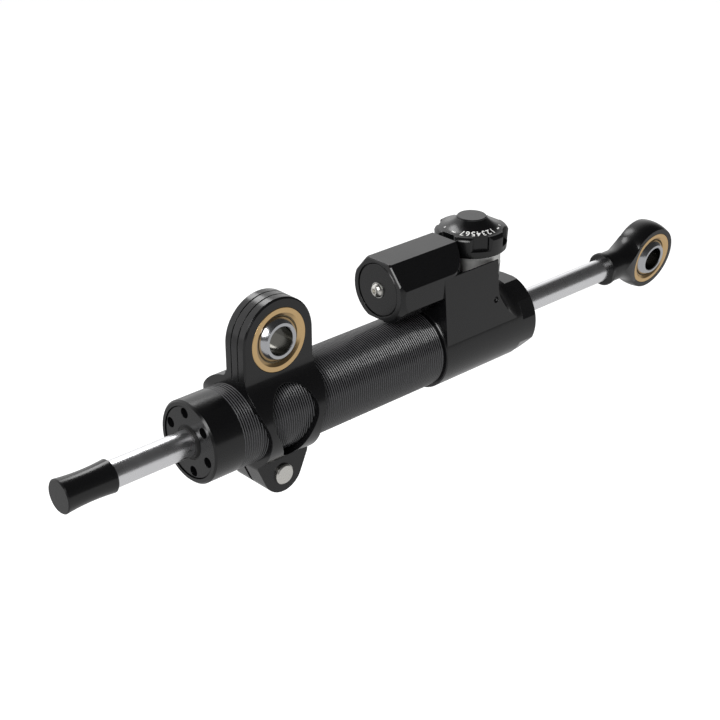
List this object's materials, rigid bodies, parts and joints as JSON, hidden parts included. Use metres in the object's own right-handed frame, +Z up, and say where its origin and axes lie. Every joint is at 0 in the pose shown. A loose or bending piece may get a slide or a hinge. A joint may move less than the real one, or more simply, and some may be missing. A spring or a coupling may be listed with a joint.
{
  "type": "steering damper",
  "caption": "Through-rod steering damper with a ribbed tube, a sliding clamp with a ball-joint ear, a reservoir, a turning adjuster knob and a ball-joint rod end.",
  "frame": {"origin": "centre of the ball in the clamp's ear, on the axis of its bore", "axes": "+X along the damper from the capped end of the rod to the rod end, +Z up from the tube to the reservoir and the knob, -Y the side that the ear's ball faces"},
  "size_m": [0.3244, 0.0374, 0.0784],
  "materials": {
    "black_anodised": "satin black anodised",
    "grey_anodised": "satin grey anodised, turned",
    "knob_black": "matt black anodised",
    "knob_grey": "fine turned grey",
    "polished_aluminium": "polished, turned",
    "hard_chrome": "ground and hard chrome plated",
    "bearing_chrome": "polished bearing steel",
    "race_yellow": "pale yellow passivated, turned",
    "ptfe_liner": "woven low-friction liner",
    "gloss_black_steel": "gloss black",
    "cap_rubber": "smooth glossy black",
    "black_rubber": "smooth black",
    "seal_green": "moulded dark green",
    "bush_bronze": "bronze-backed bush",
    "ptfe_bronze": "bronze-filled, smooth",
    "bare_aluminium": "fine turned",
    "honed_steel": "ground",
    "zinc_steel": "zinc plated",
    "washer_copper": "plain copper",
    "spring_steel": "drawn, phosphated"
  },
  "bodies": {
    "damper_body": {"cylinder_tube": "black_anodised", "head_oring": "black_rubber", "inner_cylinder": "honed_steel", "liner_orings": "black_rubber", "front_gland": "grey_anodised", "gland_oring": "black_rubber", "front_rod_bush": "bush_bronze", "front_rod_seal": "seal_green", "front_wiper": "black_rubber", "head_block": "black_anodised", "rear_rod_bush": "bush_bronze", "rear_rod_seal": "seal_green", "rear_snap_ring": "spring_steel", "rear_wiper": "black_rubber", "reservoir_plug": "grey_anodised", "plug_oring": "black_rubber", "bleed_washer": "washer_copper", "bleed_screw": "zinc_steel", "compensator_spring": "spring_steel", "adjuster_collar": "polished_aluminium", "collar_oring": "black_rubber", "knob_retaining_ring": "spring_steel", "detent_ball": "bearing_chrome", "detent_spring": "spring_steel"},
    "damping_piston": {"piston": "bare_aluminium", "piston_ring": "ptfe_bronze"},
    "rod": {"piston_rod": "hard_chrome", "piston_circlips": "spring_steel", "rod_cap": "cap_rubber", "rod_end_housing": "gloss_black_steel", "rod_end_race": "race_yellow"},
    "rod_eye_liner": {"rod_end_liner": "ptfe_liner"},
    "rod_eye_ball": {"rod_end_ball": "bearing_chrome"},
    "clamp": {"clamp_body": "black_anodised", "clamp_race": "race_yellow", "pinch_bolt": "zinc_steel"},
    "clamp_eye_liner": {"clamp_liner": "ptfe_liner"},
    "clamp_eye_ball": {"clamp_ball": "bearing_chrome"},
    "knob": {"adjuster_knob": "knob_black", "knob_cap": "knob_grey"},
    "needle": {"needle_valve": "honed_steel", "needle_oring": "black_rubber"},
    "separator": {"floating_piston": "bare_aluminium", "floating_piston_oring": "black_rubber"}
  },
  "joints": [
    {"name": "rod_slide", "type": "slide", "parent": "damper_body", "child": "damping_piston", "axis": [1, 0, 0], "range_m": [-0.0417, 0.0323]},
    {"name": "rod_spin", "type": "hinge", "parent": "damping_piston", "child": "rod", "pos_m": [0.0375, 0.003, -0.0314], "axis": [1, 0, 0], "continuous": true},
    {"name": "rod_eye_swivel", "type": "hinge", "parent": "rod", "child": "rod_eye_liner", "pos_m": [0.2203, 0.003, -0.0314], "axis": [0, -0.9888, -0.1495], "continuous": true},
    {"name": "rod_eye_tilt", "type": "hinge", "parent": "rod_eye_liner", "child": "rod_eye_ball", "pos_m": [0.2203, 0.003, -0.0314], "axis": [0, -0.1495, 0.9888], "range_deg": [-12, 12]},
    {"name": "clamp_slide", "type": "slide", "parent": "damper_body", "child": "clamp", "axis": [1, 0, 0], "range_m": [-0.019, 0.0375]},
    {"name": "clamp_eye_swivel", "type": "hinge", "parent": "clamp", "child": "clamp_eye_liner", "pos_m": [0, 0, 0], "axis": [0, -1, 0], "continuous": true},
    {"name": "clamp_eye_tilt", "type": "hinge", "parent": "clamp_eye_liner", "child": "clamp_eye_ball", "pos_m": [0, 0, 0], "axis": [1, 0, 0], "range_deg": [-12, 12]},
    {"name": "knob_turn", "type": "hinge", "parent": "damper_body", "child": "knob", "pos_m": [0.1068, 0.003, 0.01], "axis": [0, 0, 1], "range_deg": [-135, 135]},
    {"name": "needle_travel", "type": "slide", "parent": "damper_body", "child": "needle", "axis": [0, 0, 1], "range_m": [-0.0004, 0.0004]},
    {"name": "separator_slide", "type": "slide", "parent": "damper_body", "child": "separator", "axis": [1, 0, 0], "range_m": [-0.0025, 0.0025], "stiffness_N_per_m": 2000, "deforming": ["compensator_spring"]}
  ],
  "couplings": [
    {"joint": "needle_travel", "follows": "knob_turn", "m_per_rad": 0.00015915}
  ]
}
